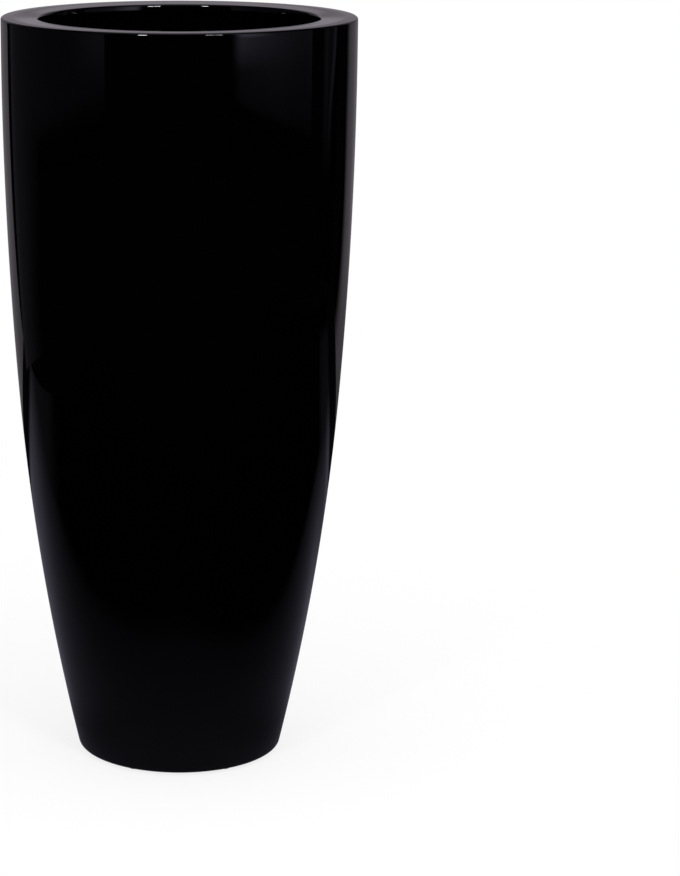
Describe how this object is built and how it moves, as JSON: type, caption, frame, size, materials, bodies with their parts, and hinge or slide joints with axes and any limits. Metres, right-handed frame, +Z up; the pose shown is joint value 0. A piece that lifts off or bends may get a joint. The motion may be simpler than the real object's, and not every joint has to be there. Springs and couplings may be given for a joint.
{
  "type": "flower pot",
  "caption": "Tall round floor planter with a curved tapering wall, a broad rim round its mouth, a drain hole with a lift-out stopper, and floor pads.",
  "frame": {"origin": "on the floor, on the pot's upright axis, level with the undersides of the floor pads", "axes": "+Z up along the pot's axis, out of its mouth; X and Y are alike apart from the pads, the first of which lies on +X"},
  "size_m": [0.466, 0.466, 1],
  "materials": {
    "lacquer": "high-gloss black lacquer, polished, over moulded fibre composite",
    "composite": "raw fibre composite, matt, with short glass strands showing",
    "resin": "hand-laid filled resin, satin and uneven",
    "rubber": "moulded black rubber, matt"
  },
  "bodies": {
    "pot": {"outer_shell": "lacquer", "rim_ring": "lacquer", "rim_bond": "resin", "base_plate": "composite", "base_bond": "resin", "floor_pad_1": "rubber", "floor_pad_2": "rubber", "floor_pad_3": "rubber", "floor_pad_4": "rubber", "floor_pad_5": "rubber", "floor_pad_6": "rubber"},
    "stopper": {"drain_plug": "rubber"}
  },
  "joints": [
    {"name": "stopper_lift", "type": "slide", "parent": "pot", "child": "stopper", "axis": [0, 0, 1], "range_m": [0, 1.05]}
  ]
}
